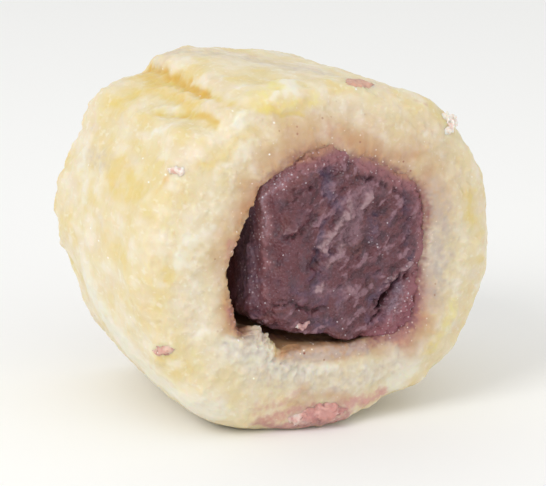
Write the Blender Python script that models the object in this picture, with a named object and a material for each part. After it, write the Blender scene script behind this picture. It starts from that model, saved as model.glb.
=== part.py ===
"""A short piece cut from a soft, pale yellow dough roll with a bar of sweet red bean paste through it.

The piece lies on its side: X runs across it, Y from the front cut to the back cut, and Z up, with
the origin under its middle, on the surface that it rests on. Angles go round the roll as the front
cut shows it: 0 is right, 90 is up, 180 is left. Depth is the distance behind the front cut.
Lengths are in millimetres and angles in degrees, up to the points of the meshes, which are in metres.
"""

import math

import bmesh
import bpy
from mathutils import Matrix, Vector, noise

MM = 0.001
TINY = 0.00001  # metres, well under any real gap

# The dough roll
ROLL_LENGTH = 28.0
ROLL_HALF_WIDTH = 18.1
ROLL_HALF_HEIGHT = 16.6
BARREL = 0.3  # swell at the middle of its length
REST_HEIGHT = 16.7  # from the small flat that it rests on up to its axis

# The cut edges, worn round: how far they have drawn in, and how far along the roll that reaches
FRONT_EDGE = (2.3, 4.2)
BACK_EDGE = (1.6, 4.0)
RIM_EDGE = (0.3, 0.8)  # the edge of the hole
CUT_DOME = 0.9  # how far the front cut leans back at its outer edge
DOME_POWER = 4  # it leans back mostly near that edge
CUT_FADE = 8  # the shape of a cut fades out along the roll: the higher, the sooner

# Lumps (+) and hollows (-) that the hand left: angle, depth, half angle, half length, height
LUMPS = (
    (232, 2, 20, 14, 1.9),
    (212, 17, 20, 12, 0.9),
    (202, 28, 16, 9, -1.0),
    (176, 27, 12, 8, 0.4),
    (154, 26, 10, 8, -0.1),
    (137, 26, 10, 9, 1.3),
    (104, 26, 18, 12, -0.4),
    (86, 10, 26, 14, -0.9),
    (42, 0, 14, 12, 0.6),
    (18, 0, 14, 12, 0.3),
    (338, 0, 16, 12, 0.4),
    (312, 0, 16, 12, 0.6),
    (266, 0, 14, 10, 0.5),
)

# The sheet's end lies over its start along the top left, and the dough wrinkles beside it
LAP_ANGLE = 118.0
LAP_HEIGHT = 1.1
LAP_SLOPE = 2.5  # half angle of its step
LAP_SPREAD = (-34.0, -8.0)  # it thins out between these angles from the step
LAP_CREASE = (3.0, 2.5, 0.25)  # angle from the step, half angle, share of the lap's height
LAP_DEPTHS = (1.0, 22.0)  # where the step begins, and where it has its full height
WRINKLE_ANGLE = 132.0
WRINKLE_DEPTHS = (-1.0, 17.0)
WRINKLE_ENDS = (3.0, 4.0)  # it rises and dies out over these lengths
WRINKLE_HEIGHT = 0.5
WRINKLE_RIDGE = (5.0, 4.5)  # angle from the furrow, half angle
WRINKLE_FURROW = 3.5  # half angle
DIMPLE = 0.35  # relief of the skin between lumps
DIMPLE_SIZE = 5.5
FRONT_DIMPLES_AT = -20.0  # where in the noise the relief of each cut is read
BACK_DIMPLES_AT = 40.0

# The bar of bean paste, a rounded square as the cut shows it
BAR_CENTRE = (0.9, 1.1)
BAR_HALF_WIDTH = 8.2
BAR_HALF_HEIGHT = 8.5
BAR_SQUARENESS = 2.9
BAR_LEAN = -9.0
BAR_FADE = 12  # the shape of its cuts fades out along it: the higher, the sooner

# Where the bar bulges (+) and falls short of a rounded square (-): angle, half angle, height
BAR_CORNERS = (
    (312, 16, 1.6),
    (278, 12, 0.4),
    (216, 14, 1.3),
    (145, 13, 0.7),
    (114, 14, 0.6),
    (84, 11, -0.65),
    (53, 24, -0.95),
)
BAR_PROUD = 0.3  # how far it stands out of the front cut
BAR_EDGE = 0.6  # how far its worn cut edges have drawn in, and over what width
BAR_EDGE_WIDTH = 1.2

# Its left cut edge has crumbled away
CHAMFER_ANGLES = (180.0, 45.0)  # middle, half angle
CHAMFER_START = 0.75  # share of the way out to the side
CHAMFER_ALONG = 2.4
CHAMFER_ACROSS = 1.0
CHAMFER_REACH = 1.5

# What shows on the cut of the bar, in X and Z from the roll's axis
CRACK = ((8.2, -0.8), (5.4, -2.8), (3.4, -5.6), (1.9, -7.3))
CRACK_DEPTH = 0.7
CRACK_HALF_WIDTH = 0.5
RIDGE = ((2.6, 6.0), (0.4, 3.4), (-0.9, 0.2))
RIDGE_HEIGHT = 0.35
RIDGE_HALF_WIDTH = 0.8
CHUNK_RECESS = 0.5  # the corner beyond the crack lies deeper
CHUNK_STEP = 1.0  # over this width
SCRAPE = 0.18  # relief that the knife left on the paste
SCRAPE_SIZE = 2.0
SCRAPES_AT = 7.0

# Room between the bar and the dough round it
TOUCH = 0.3
GAPS = ((186, 26, 2.5), (241, 22, 1.0))  # angle, half angle, width: left of the bar and below it
GAP_DEPTHS = (4.0, 13.0)  # open as far in as the first, closed at the second

# A torn flap of dough hangs over the lower left corner of the hole
FLAP_ANGLE = 221.0
FLAP_HALF_ANGLE = 5.0
FLAP_REACH = 1.2
FLAP_DEPTH = 2.2
FLAP_PROUD = 0.5
FLAP_CENTRE = (-8.6, -7.2)
FLAP_SPREAD = 2.4

# Flakes of paste on the dough: angle, depth, length, width, thickness, turn
FLAKES = {
    "bottom": (271, 0.25, 6.0, 2.6, 1.1, 4),
    "bottom_smear": (260, 0.5, 4.2, 1.8, 0.7, 0),
    "top": (77, 1.4, 3.6, 1.5, 0.9, 15),
    "side_low": (206, 2.6, 2.2, 1.4, 0.9, 30),
    "side_high": (148, 2.2, 2.2, 1.7, 0.8, -40),
}
FLAKE_RAGGED = 0.3
FLAKE_RAGGED_SIZE = 0.4
FLAKE_LIE = (4.0, 0.5)  # the skin's slope is taken over this angle and this length

# The meshes
STEPS_AROUND = 84
STEPS_ALONG = 14
STEPS_ACROSS = 7
BAR_STEPS = 16

DOUGH_COLOUR = (0.86, 0.75, 0.45, 1.0)
DOUGH_ROUGHNESS = 0.6
PASTE_COLOUR = (0.13, 0.065, 0.075, 1.0)
PASTE_ROUGHNESS = 0.5


def clear_scene():
    for old in list(bpy.data.objects):
        bpy.data.objects.remove(old, do_unlink=True)


def smooth_step(low, high, value):
    """0 below low, 1 above high, and a smooth climb between them."""
    t = min(1.0, max(0.0, (value - low) / (high - low)))
    return t * t * (3.0 - 2.0 * t)


def bell(offset, half_width):
    """A smooth hump, 1 high in the middle."""
    return math.exp(-((offset / half_width) ** 2))


def turn_to(angle, other):
    """The turn from the second angle to the first, with its sign."""
    return (angle - other + 180.0) % 360.0 - 180.0


def heading(angle):
    """X and Z of a step of 1 mm in a direction across the roll."""
    return math.cos(math.radians(angle)), math.sin(math.radians(angle))


def worn(distance, edge):
    """How far a worn edge has drawn in, at some distance from it."""
    loss, reach = edge
    t = min(1.0, max(0.0, 1.0 - distance / reach))
    return loss * (1.0 - math.sqrt(1.0 - t * t))


def rough(x, y, z, size):
    """Soft noise between about -1 and 1 with bumps of one size, the same on every run."""
    return noise.fractal(Vector((x, y, z)) / size, 1.0, 2.0, 2)


def distance_to_path(x, z, path):
    """Distance from a place on the cut to a line through points, and the side that it lies on."""
    nearest, side = 1000.0, 1.0
    for (x1, z1), (x2, z2) in zip(path, path[1:]):
        run = (x2 - x1, z2 - z1)
        t = ((x - x1) * run[0] + (z - z1) * run[1]) / (run[0] ** 2 + run[1] ** 2)
        t = min(1.0, max(0.0, t))
        away = math.hypot(x - x1 - t * run[0], z - z1 - t * run[1])
        if away < nearest:
            nearest = away
            side = math.copysign(1.0, run[0] * (z - z1) - run[1] * (x - x1))
    return nearest, side


def lap(angle, depth):
    """The sheet's end lies over its start, with a crease at its foot."""
    off = turn_to(angle, LAP_ANGLE)
    upper = (1.0 - smooth_step(-LAP_SLOPE, LAP_SLOPE, off)) * smooth_step(*LAP_SPREAD, off)
    crease_angle, crease_half_angle, share = LAP_CREASE
    crease = share * bell(off - crease_angle, crease_half_angle)
    return LAP_HEIGHT * smooth_step(*LAP_DEPTHS, depth) * (upper - crease)


def wrinkle(angle, depth):
    """A low ridge and the furrow beside it, below the lap."""
    off = turn_to(angle, WRINKLE_ANGLE)
    begin, end = WRINKLE_DEPTHS
    rise, fall = WRINKLE_ENDS
    strength = smooth_step(begin, begin + rise, depth) * (1.0 - smooth_step(end - fall, end, depth))
    ridge_angle, ridge_half_angle = WRINKLE_RIDGE
    height = bell(off - ridge_angle, ridge_half_angle) - bell(off, WRINKLE_FURROW)
    return WRINKLE_HEIGHT * strength * height


def skin_radius(angle, depth):
    """Distance from the axis to the outer skin."""
    across, up = heading(angle)
    radius = 1.0 / math.hypot(across / ROLL_HALF_WIDTH, up / ROLL_HALF_HEIGHT)
    along = 2.0 * depth / ROLL_LENGTH - 1.0
    radius += BARREL * (1.0 - along * along)
    for lump_angle, lump_depth, half_angle, half_length, height in LUMPS:
        here = bell(turn_to(angle, lump_angle), half_angle) * bell(depth - lump_depth, half_length)
        radius += height * here
    radius += lap(angle, depth) + wrinkle(angle, depth)
    radius += DIMPLE * rough(radius * across, depth, radius * up, DIMPLE_SIZE)
    return radius - worn(depth, FRONT_EDGE) - worn(ROLL_LENGTH - depth, BACK_EDGE)


def bar_radius(angle):
    """Distance from the bar's middle to its side."""
    across, up = heading(angle - BAR_LEAN)
    power = BAR_SQUARENESS
    squared = (abs(across) / BAR_HALF_WIDTH) ** power + (abs(up) / BAR_HALF_HEIGHT) ** power
    radius = squared ** (-1.0 / power)
    for corner_angle, half_angle, height in BAR_CORNERS:
        radius += height * bell(turn_to(angle, corner_angle), half_angle)
    return radius


def hole_radius(angle, depth):
    """Distance from the bar's middle to the wall of the hole."""
    open_here = 1.0 - smooth_step(*GAP_DEPTHS, depth)
    gap = sum(width * bell(turn_to(angle, middle), half_angle) for middle, half_angle, width in GAPS)
    flap = FLAP_REACH * bell(turn_to(angle, FLAP_ANGLE), FLAP_HALF_ANGLE) * bell(depth, FLAP_DEPTH)
    radius = bar_radius(angle) + TOUCH + gap * open_here - flap
    return radius + worn(depth, RIM_EDGE) + worn(ROLL_LENGTH - depth, RIM_EDGE)


def cut_relief(x, z):
    """How far the dough stands out of the plane of the front cut."""
    flap = FLAP_PROUD * bell(math.hypot(x - FLAP_CENTRE[0], z - FLAP_CENTRE[1]), FLAP_SPREAD)
    return flap + DIMPLE * rough(x, FRONT_DIMPLES_AT, z, DIMPLE_SIZE)


def dough_point(angle, across, along):
    """A point of the wall: across is 0 at the hole and 1 at the skin, along runs from front to back."""
    depth = ROLL_LENGTH * along
    step_x, step_z = heading(angle)
    inner = hole_radius(angle, depth)
    outer = skin_radius(angle, depth)
    inner_x, inner_z = BAR_CENTRE[0] + inner * step_x, BAR_CENTRE[1] + inner * step_z
    x = inner_x + (outer * step_x - inner_x) * across
    z = inner_z + (outer * step_z - inner_z) * across
    near_front, near_back = (1.0 - along) ** CUT_FADE, along**CUT_FADE
    depth += (CUT_DOME * across**DOME_POWER - cut_relief(x, z)) * near_front
    depth += DIMPLE * rough(x, BACK_DIMPLES_AT, z, DIMPLE_SIZE) * near_back
    return to_frame(x, depth, z)


def to_frame(x, depth, z):
    """From the roll's axis to the frame, in metres, with what would reach below the flat pressed level."""
    height = max(0.0, z + REST_HEIGHT)
    return Vector((x, depth - ROLL_LENGTH / 2.0, height)) * MM


def even_steps(count):
    """Fractions from 0 to 1 that crowd towards both ends, where the edges are round."""
    return [0.5 - 0.5 * math.cos(math.pi * i / count) for i in range(count + 1)]


def plain_ring():
    """A ring with a square section, from 1 to 2 out of the axis and from 0 to 1 along it."""
    along = even_steps(STEPS_ALONG)
    across = even_steps(STEPS_ACROSS)
    section = [(2.0, t) for t in along[:-1]]
    section += [(1.0 + t, 1.0) for t in reversed(across[1:])]
    section += [(1.0, t) for t in reversed(along[1:])]
    section += [(1.0 + t, 0.0) for t in across[:-1]]
    ring = bmesh.new()
    corners = [ring.verts.new((radius, length, 0.0)) for radius, length in section]
    edges = [ring.edges.new(pair) for pair in zip(corners, corners[1:] + corners[:1])]
    bmesh.ops.spin(
        ring, geom=corners + edges, cent=(0, 0, 0), axis=(0, -1, 0), angle=math.tau, steps=STEPS_AROUND
    )
    bmesh.ops.remove_doubles(ring, verts=ring.verts, dist=TINY)
    return ring


def make_object(name, mesh_data, collection, material=None):
    mesh = bpy.data.meshes.new(name)
    bmesh.ops.recalc_face_normals(mesh_data, faces=mesh_data.faces)
    mesh_data.to_mesh(mesh)
    mesh_data.free()
    mesh.shade_smooth()
    if material:
        mesh.materials.append(material)
    piece = bpy.data.objects.new(name, mesh)
    collection.objects.link(piece)
    return piece


def make_dough(collection, material):
    ring = plain_ring()
    for vert in ring.verts:
        angle = math.degrees(math.atan2(vert.co.z, vert.co.x))
        across = math.hypot(vert.co.x, vert.co.z) - 1.0
        vert.co = dough_point(angle, across, vert.co.y)
    return make_object("dough_wrap", ring, collection, material)


def bar_cut_relief(x, z):
    """How far the cut of the bar stands out of its plane, in front."""
    crack, side = distance_to_path(x, z, CRACK)
    ridge, _ = distance_to_path(x, z, RIDGE)
    relief = RIDGE_HEIGHT * bell(ridge, RIDGE_HALF_WIDTH) - CRACK_DEPTH * bell(crack, CRACK_HALF_WIDTH)
    if side > 0.0:
        relief -= CHUNK_RECESS * smooth_step(0.0, CHUNK_STEP, crack)
    return relief + SCRAPE * rough(x, SCRAPES_AT, z, SCRAPE_SIZE)


def bar_point(x, y, z):
    """A point of the bar from one of a box that reaches 1 each way."""
    angle = math.degrees(math.atan2(z, x))
    out = max(abs(x), abs(z))
    along = 0.5 + 0.5 * y
    near_front, near_back = (1.0 - along) ** BAR_FADE, along**BAR_FADE
    radius = bar_radius(angle) * out
    rounding = worn(bar_radius(angle) - radius, (BAR_EDGE, BAR_EDGE_WIDTH))
    middle, half_angle = CHAMFER_ANGLES
    left = bell(turn_to(angle, middle), half_angle)
    step_x, step_z = heading(angle)
    at_x, at_z = BAR_CENTRE[0] + radius * step_x, BAR_CENTRE[1] + radius * step_z
    depth = along * ROLL_LENGTH - BAR_PROUD * near_front
    depth += (rounding - bar_cut_relief(at_x, at_z)) * near_front - rounding * near_back
    depth += CHAMFER_ALONG * left * smooth_step(CHAMFER_START, 1.0, out) * near_front
    at_x += CHAMFER_ACROSS * left * out * bell(depth, CHAMFER_REACH)
    return to_frame(at_x, depth, at_z)


def make_bar(collection, material):
    box = bmesh.new()
    bmesh.ops.create_cube(box, size=2.0)
    bmesh.ops.subdivide_edges(box, edges=box.edges, cuts=BAR_STEPS - 1, use_grid_fill=True)
    for vert in box.verts:
        vert.co = bar_point(*vert.co)
    return make_object("bean_bar", box, collection, material)


def make_flake(name, collection):
    """A flat, ragged flake, laid on the skin and sunk into it by half of its thickness."""
    angle, depth, length, width, thickness, turn = FLAKES[name]
    flake = bmesh.new()
    bmesh.ops.create_icosphere(flake, subdivisions=2, radius=0.5)
    lie_angle, lie_length = FLAKE_LIE
    place = dough_point(angle, 1.0, depth / ROLL_LENGTH)
    round_skin = dough_point(angle + lie_angle, 1.0, depth / ROLL_LENGTH) - place
    along_skin = dough_point(angle, 1.0, (depth + lie_length) / ROLL_LENGTH) - place
    out = round_skin.cross(along_skin).normalized()
    side = (round_skin - out * round_skin.dot(out)).normalized()
    onward = out.cross(side)
    lie_x, lie_y = heading(turn)
    for vert in flake.verts:
        ragged = 1.0 + FLAKE_RAGGED * rough(vert.co.x + angle, vert.co.y, vert.co.z, FLAKE_RAGGED_SIZE)
        x, y, z = vert.co * ragged * MM
        x, y, z = x * length, y * width, z * thickness
        vert.co = place + side * (x * lie_x - y * lie_y) + onward * (x * lie_y + y * lie_x) + out * z
        vert.co.z = max(0.0, vert.co.z)
    return make_object("flake_" + name, flake, collection)


def join_flakes(dough, collection):
    """Unites the flakes with the dough, so that it stays one closed piece."""
    for name in FLAKES:
        make_flake(name, collection)
    union = dough.modifiers.new("flakes", "BOOLEAN")
    union.operation = "UNION"
    union.operand_type = "COLLECTION"
    union.collection = collection
    evaluated = dough.evaluated_get(bpy.context.evaluated_depsgraph_get())
    joined = bpy.data.meshes.new_from_object(evaluated)
    dough.modifiers.clear()
    dough.data = joined
    for flake in list(collection.objects):
        bpy.data.objects.remove(flake, do_unlink=True)
    bpy.data.collections.remove(collection)


def centre_over_origin(pieces):
    """Moves the pieces so that the origin lies under the middle of their box."""
    points = [vert.co for piece in pieces for vert in piece.data.vertices]
    shift = Vector((0.0, 0.0, 0.0))
    for axis in (0, 1):
        shift[axis] = -0.5 * (min(co[axis] for co in points) + max(co[axis] for co in points))
    for piece in pieces:
        piece.data.transform(Matrix.Translation(shift))


def make_material(name, colour, roughness):
    material = bpy.data.materials.new(name)
    material.use_nodes = True
    shader = material.node_tree.nodes["Principled BSDF"]
    shader.inputs["Base Color"].default_value = colour
    shader.inputs["Roughness"].default_value = roughness
    return material


def make_collection(name):
    collection = bpy.data.collections.new(name)
    bpy.context.scene.collection.children.link(collection)
    return collection


def main():
    clear_scene()
    piece = make_collection("bean_roll_piece")
    dough = make_dough(piece, make_material("dough", DOUGH_COLOUR, DOUGH_ROUGHNESS))
    join_flakes(dough, make_collection("flakes"))
    bar = make_bar(piece, make_material("bean_paste", PASTE_COLOUR, PASTE_ROUGHNESS))
    centre_over_origin((dough, bar))


main()
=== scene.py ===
import math

import bpy
import numpy as np
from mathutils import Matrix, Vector, noise
from mathutils.bvhtree import BVHTree


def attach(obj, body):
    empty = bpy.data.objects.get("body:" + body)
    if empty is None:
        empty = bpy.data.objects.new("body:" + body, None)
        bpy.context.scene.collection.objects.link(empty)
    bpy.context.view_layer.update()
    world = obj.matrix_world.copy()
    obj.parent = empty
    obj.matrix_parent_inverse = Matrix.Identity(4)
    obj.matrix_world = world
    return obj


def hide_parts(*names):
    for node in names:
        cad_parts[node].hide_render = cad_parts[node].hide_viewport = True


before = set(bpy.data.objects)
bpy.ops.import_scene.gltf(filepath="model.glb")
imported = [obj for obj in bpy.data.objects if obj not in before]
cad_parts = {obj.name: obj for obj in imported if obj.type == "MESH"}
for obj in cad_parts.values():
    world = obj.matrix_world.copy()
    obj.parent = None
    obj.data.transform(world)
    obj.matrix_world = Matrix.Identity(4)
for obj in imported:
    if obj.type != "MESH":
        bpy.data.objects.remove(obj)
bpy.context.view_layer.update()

mm = 0.001

# The roll lies along Y. Places on it are x, depth behind the front cut, and height from its axis, in mm
rollAxis = np.array([0.1, -13.8, 16.7])
rollLength = 28.0
noise.seed_set(11)  # so that every stroke wanders the same way on each run
barMiddle = (0.9, 1.1)  # the bar's middle on the cut, x and height


# Helpers for meshes

def selectOnly(piece):
    bpy.ops.object.select_all(action="DESELECT")
    piece.select_set(True)
    bpy.context.view_layer.objects.active = piece


def applyModifier(piece, kind, **settings):
    selectOnly(piece)
    modifier = piece.modifiers.new(kind.lower(), kind)
    for name, value in settings.items():
        setattr(modifier, name, value)
    bpy.ops.object.modifier_apply(modifier=modifier.name)


def copyOfNode(nodeName, pieceName):
    bpy.ops.object.select_all(action="DESELECT")
    piece = bpy.data.objects.new(pieceName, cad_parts[nodeName].data.copy())
    bpy.context.scene.collection.objects.link(piece)
    piece.data.materials.clear()
    selectOnly(piece)
    bpy.ops.object.mode_set(mode="EDIT")
    bpy.ops.mesh.select_all(action="SELECT")
    bpy.ops.mesh.remove_doubles(threshold=0.000001)
    bpy.ops.object.mode_set(mode="OBJECT")
    return piece


def readVectors(items, name):
    flat = np.empty(len(items) * 3)
    items.foreach_get(name, flat)
    return flat.reshape(-1, 3)


def pointsOf(piece):
    return readVectors(piece.data.vertices, "co") / mm - rollAxis


def normalsOf(piece):
    return readVectors(piece.data.vertices, "normal")


def setPoints(piece, points):
    piece.data.vertices.foreach_set("co", ((points + rollAxis) * mm).ravel())
    piece.data.update()


def subdivideWhere(piece, wanted):
    selectOnly(piece)
    chosen = wanted(readVectors(piece.data.polygons, "center") / mm - rollAxis)
    bpy.ops.object.mode_set(mode="EDIT")
    bpy.ops.mesh.select_all(action="DESELECT")
    bpy.ops.mesh.select_mode(type="FACE")
    bpy.ops.object.mode_set(mode="OBJECT")
    piece.data.polygons.foreach_set("select", chosen)
    bpy.ops.object.mode_set(mode="EDIT")
    bpy.ops.mesh.subdivide(number_cuts=1)
    bpy.ops.object.mode_set(mode="OBJECT")


def turnFacesOut(piece):
    selectOnly(piece)
    bpy.ops.object.mode_set(mode="EDIT")
    bpy.ops.mesh.select_all(action="SELECT")
    bpy.ops.mesh.normals_make_consistent(inside=False)
    bpy.ops.object.mode_set(mode="OBJECT")


def finishPiece(piece, material):
    piece.data.materials.append(material)
    selectOnly(piece)
    bpy.ops.object.shade_smooth()
    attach(piece, "root")
    print(piece.name + ":", len(piece.data.polygons), "faces")


# Helpers for sculpting, all on arrays of points in mm

def smoothStep(low, high, values):
    t = np.clip((values - low) / (high - low), 0.0, 1.0)
    return t * t * (3.0 - 2.0 * t)


def bell(offset, halfWidth):
    return np.exp(-((offset / halfWidth) ** 2))


def turnTo(angle, other):
    # degrees between the two, from -180 to 180
    return (angle - other + 180.0) % 360.0 - 180.0


def angleOf(points, middle=(0.0, 0.0)):
    return np.degrees(np.arctan2(points[:, 2] - middle[1], points[:, 0] - middle[0])) % 360.0


def radiusOf(points, middle=(0.0, 0.0)):
    return np.hypot(points[:, 0] - middle[0], points[:, 2] - middle[1])


def awayFromBar(points):
    away = points - np.array([barMiddle[0], 0.0, barMiddle[1]])
    away[:, 1] = 0.0
    return away


def edgeRadius(radius, angle, near, pick):
    # the smallest or the largest radius of the points near the cut, at each point's angle
    degrees = np.arange(0, 363, 3)
    found = [pick(radius[near & (np.abs(turnTo(angle, degree)) < 3.0)]) for degree in degrees]
    return np.interp(angle, degrees, found)


def rough(points, size, octaves=2, seed=0.0, stretch=(1.0, 1.0, 1.0)):
    # cloudy noise with lumps of this size, longer along X, Y or Z by the stretch
    moved = points / (np.array(stretch) * size) + seed
    return np.array([noise.fractal(Vector(p), 1.0, 2.0, octaves) for p in moved])


def farFrom(points, path):
    # distance to a line through the path's points
    corners = [np.array(corner) for corner in path]
    nearest = np.linalg.norm(points - corners[0], axis=1)
    for start, end in zip(corners, corners[1:]):
        run = end - start
        t = np.clip((points - start) @ run / (run @ run), 0.0, 1.0)
        nearest = np.minimum(nearest, np.linalg.norm(points - start - t[:, None] * run, axis=1))
    return nearest


def warp(points, sizes):
    # sizes: wave length and how far it moves a point, from coarse to fine
    return points + sum(
        shift * np.array([noise.noise_vector(Vector(p)) for p in points / length]) for length, shift in sizes
    )


def applyStrokes(points, strokes, wander, layers):
    # each stroke raises or lowers the surface along a wandering line, and paints colours along it
    push = np.zeros(len(points))
    moved = warp(points, wander)
    for halfWidth, height, colours, path in strokes.values():
        touch = bell(farFrom(moved, path), halfWidth)
        push += height * touch
        for name, strength in colours.items():
            layers[name] = np.maximum(layers.get(name, 0.0), strength * touch)
    return push


def paint(piece, layers):
    for name, values in layers.items():
        layer = piece.data.attributes.new(name, "FLOAT", "POINT")
        layer.data.foreach_set("value", np.clip(values, 0.0, 1.0))


# Helpers for materials

def linear(hexColour):
    parts = [int(hexColour[i:i + 2], 16) / 255 for i in (1, 3, 5)]
    return [c / 12.92 if c <= 0.04045 else ((c + 0.055) / 1.055) ** 2.4 for c in parts] + [1.0]


def addNode(tree, kind, settings=None, links=None):
    # a setting is the value of the input that has its name or number, or else a property of the node
    node = tree.nodes.new(kind)
    for name, value in (settings or {}).items():
        if isinstance(name, int) or name in node.inputs:
            node.inputs[name].default_value = value
        else:
            setattr(node, name, value)
    for name, source in (links or {}).items():
        tree.links.new(source, node.inputs[name])
    return node


def addPatches(tree, look, inMm):
    # patches of colour over each other, some of them only where a layer is painted
    colour = None
    for shade, mask, size, low, high, strength in look["patches"]:
        settings = {"Scale": 1 / size, "Detail": look["detail"], "Roughness": 0.5}
        level = addNode(tree, "ShaderNodeTexNoise", settings, {0: inMm}).outputs[0]
        if mask:
            drawn = addNode(tree, "ShaderNodeAttribute", {"attribute_name": mask}).outputs["Fac"]
            blend = {"operation": "MULTIPLY_ADD", 1: look["ragged"], 2: 1.0 - 0.5 * look["ragged"]}
            ragged = addNode(tree, "ShaderNodeMath", blend, {0: level}).outputs[0]
            times = {"operation": "MULTIPLY"}
            level = addNode(tree, "ShaderNodeMath", times, {0: drawn, 1: ragged}).outputs[0]
        settings = {"interpolation_type": "SMOOTHSTEP", "From Min": low, "From Max": high, "To Max": strength}
        amount = addNode(tree, "ShaderNodeMapRange", settings, {0: level}).outputs[0]
        mix = addNode(tree, "ShaderNodeMix", {"data_type": "RGBA", 6: linear(look["ground"])}, {0: amount})
        mix.inputs[7].default_value = linear(shade)
        if colour:
            tree.links.new(colour, mix.inputs[6])
        colour = mix.outputs[2]
    return colour


def addGrainsAndGlints(tree, look, inMm, colour):
    # round dots in some of the cells: real grains, and pale dots that are painted glints
    times = {"operation": "MULTIPLY"}
    for shade, mask, spacing, size, share in look["grainsAndGlints"]:
        cells = addNode(tree, "ShaderNodeTexVoronoi", {"Scale": 1 / spacing}, {0: inMm})
        settings = {"From Min": size / spacing, "From Max": 0.5 * size / spacing}
        dot = addNode(tree, "ShaderNodeMapRange", settings, {0: cells.outputs["Distance"]}).outputs[0]
        lot = addNode(tree, "ShaderNodeSeparateColor", {}, {0: cells.outputs["Color"]}).outputs[0]
        chosen = addNode(tree, "ShaderNodeMath", {"operation": "LESS_THAN", 1: share}, {0: lot}).outputs[0]
        amount = addNode(tree, "ShaderNodeMath", times, {0: dot, 1: chosen}).outputs[0]
        if mask:
            drawn = addNode(tree, "ShaderNodeAttribute", {"attribute_name": mask}).outputs["Fac"]
            amount = addNode(tree, "ShaderNodeMath", times, {0: amount, 1: drawn}).outputs[0]
        mix = addNode(tree, "ShaderNodeMix", {"data_type": "RGBA", 7: linear(shade)}, {0: amount, 6: colour})
        colour = mix.outputs[2]
    return colour


def addBumps(tree, look, inMm):
    # from fine to coarse, each on top of the one before
    normal = None
    for size, height, strength in look["bumps"]:
        cloud = addNode(tree, "ShaderNodeTexNoise", {"Scale": 1 / size, "Detail": 3.0}, {0: inMm}).outputs[0]
        settings = {"Strength": strength, "Distance": height * mm}
        bump = addNode(tree, "ShaderNodeBump", settings, {"Height": cloud})
        if normal:
            tree.links.new(normal, bump.inputs["Normal"])
        normal = bump.outputs[0]
    return normal


def makeFood(name, look):
    # patches first, then single grains and painted glints over them, and bumps
    material = bpy.data.materials.new(name)
    material.use_nodes = True
    tree = material.node_tree
    shader = tree.nodes["Principled BSDF"]
    place = addNode(tree, "ShaderNodeTexCoord")
    stretch = {"Scale": (1 / mm, look["drawnOut"] / mm, 1 / mm)}
    inMm = addNode(tree, "ShaderNodeMapping", stretch, {0: place.outputs["Object"]}).outputs[0]
    colour = addGrainsAndGlints(tree, look, inMm, addPatches(tree, look, inMm))
    tree.links.new(colour, shader.inputs["Base Color"])
    tree.links.new(addBumps(tree, look, inMm), shader.inputs["Normal"])
    for setting, value in look["surface"].items():
        shader.inputs[setting].default_value = value
    return material


# Camera and light, as the photo was taken: from the left of the front cut and a little above

photoView = {
    "azimuth": -26.0,
    "elevation": 14.0,
    "distance": 185.0,
    "lens": 132.15,
    "aimRight": -5.54,  # mm from the middle of the front cut to the middle of the picture
    "aimUp": 1.38,
}


def makeCamera():
    turn = math.radians(photoView["azimuth"])
    rise = math.radians(photoView["elevation"])
    away = Vector((math.sin(turn) * math.cos(rise), -math.cos(turn) * math.cos(rise), math.sin(rise)))
    right = Vector((math.cos(turn), math.sin(turn), 0.0))
    up = away.cross(right)
    place = Vector(rollAxis) + away * photoView["distance"]
    aim = Vector(rollAxis) + right * photoView["aimRight"] + up * photoView["aimUp"]
    facing = (aim - place).to_track_quat("-Z", "Y").to_euler()
    bpy.ops.object.camera_add(location=place * mm, rotation=facing)
    camera = bpy.context.object
    camera.name = "photoCamera"
    camera.data.lens = photoView["lens"]
    camera.data.clip_start = 0.01
    bpy.context.scene.camera = camera
    print("camera placed")


studio = {
    "floorColour": "#F7F7F5",
    "floorSize": 3.0,
    "aimHeight": 0.015,  # both lamps point at the middle of the roll
    "worldStrength": 0.82,
    "keyPlace": (-0.50, -0.22, 0.42),
    "keySize": 0.30,
    "keyPower": 1.74,
    "fillPlace": (0.25, -0.55, 0.10),
    "fillSize": 0.5,
    "fillPower": 0.65,
}


def makeStudio():
    bpy.ops.mesh.primitive_plane_add(size=studio["floorSize"], location=(0, 0, 0))
    floor = bpy.context.object
    floor.name = "floor"
    tone = bpy.data.materials.new("matt white paper")  # no gloss, so only a soft shadow lies on it
    tone.use_nodes = True
    shader = tone.node_tree.nodes["Principled BSDF"]
    shader.inputs["Base Color"].default_value = linear(studio["floorColour"])
    shader.inputs["Roughness"].default_value = 0.9
    floor.data.materials.append(tone)
    for name in ("key", "fill"):
        spot = Vector(studio[name + "Place"])
        facing = (Vector((0, 0, studio["aimHeight"])) - spot).to_track_quat("-Z", "Y").to_euler()
        bpy.ops.object.light_add(type="AREA", location=spot, rotation=facing)
        lamp = bpy.context.object
        lamp.name = name + "Light"
        lamp.data.size = studio[name + "Size"]
        lamp.data.energy = studio[name + "Power"]
    world = bpy.data.worlds.new("white room")
    world.use_nodes = True
    background = world.node_tree.nodes["Background"]
    background.inputs["Color"].default_value = (1.0, 1.0, 1.0, 1.0)
    background.inputs["Strength"].default_value = studio["worldStrength"]
    bpy.context.scene.world = world
    bpy.context.scene.view_settings.view_transform = "Standard"
    print("studio lit")


# Steamed starch dough, kneaded and rolled by hand: moist and mealy, so light sinks in and comes out warm

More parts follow.
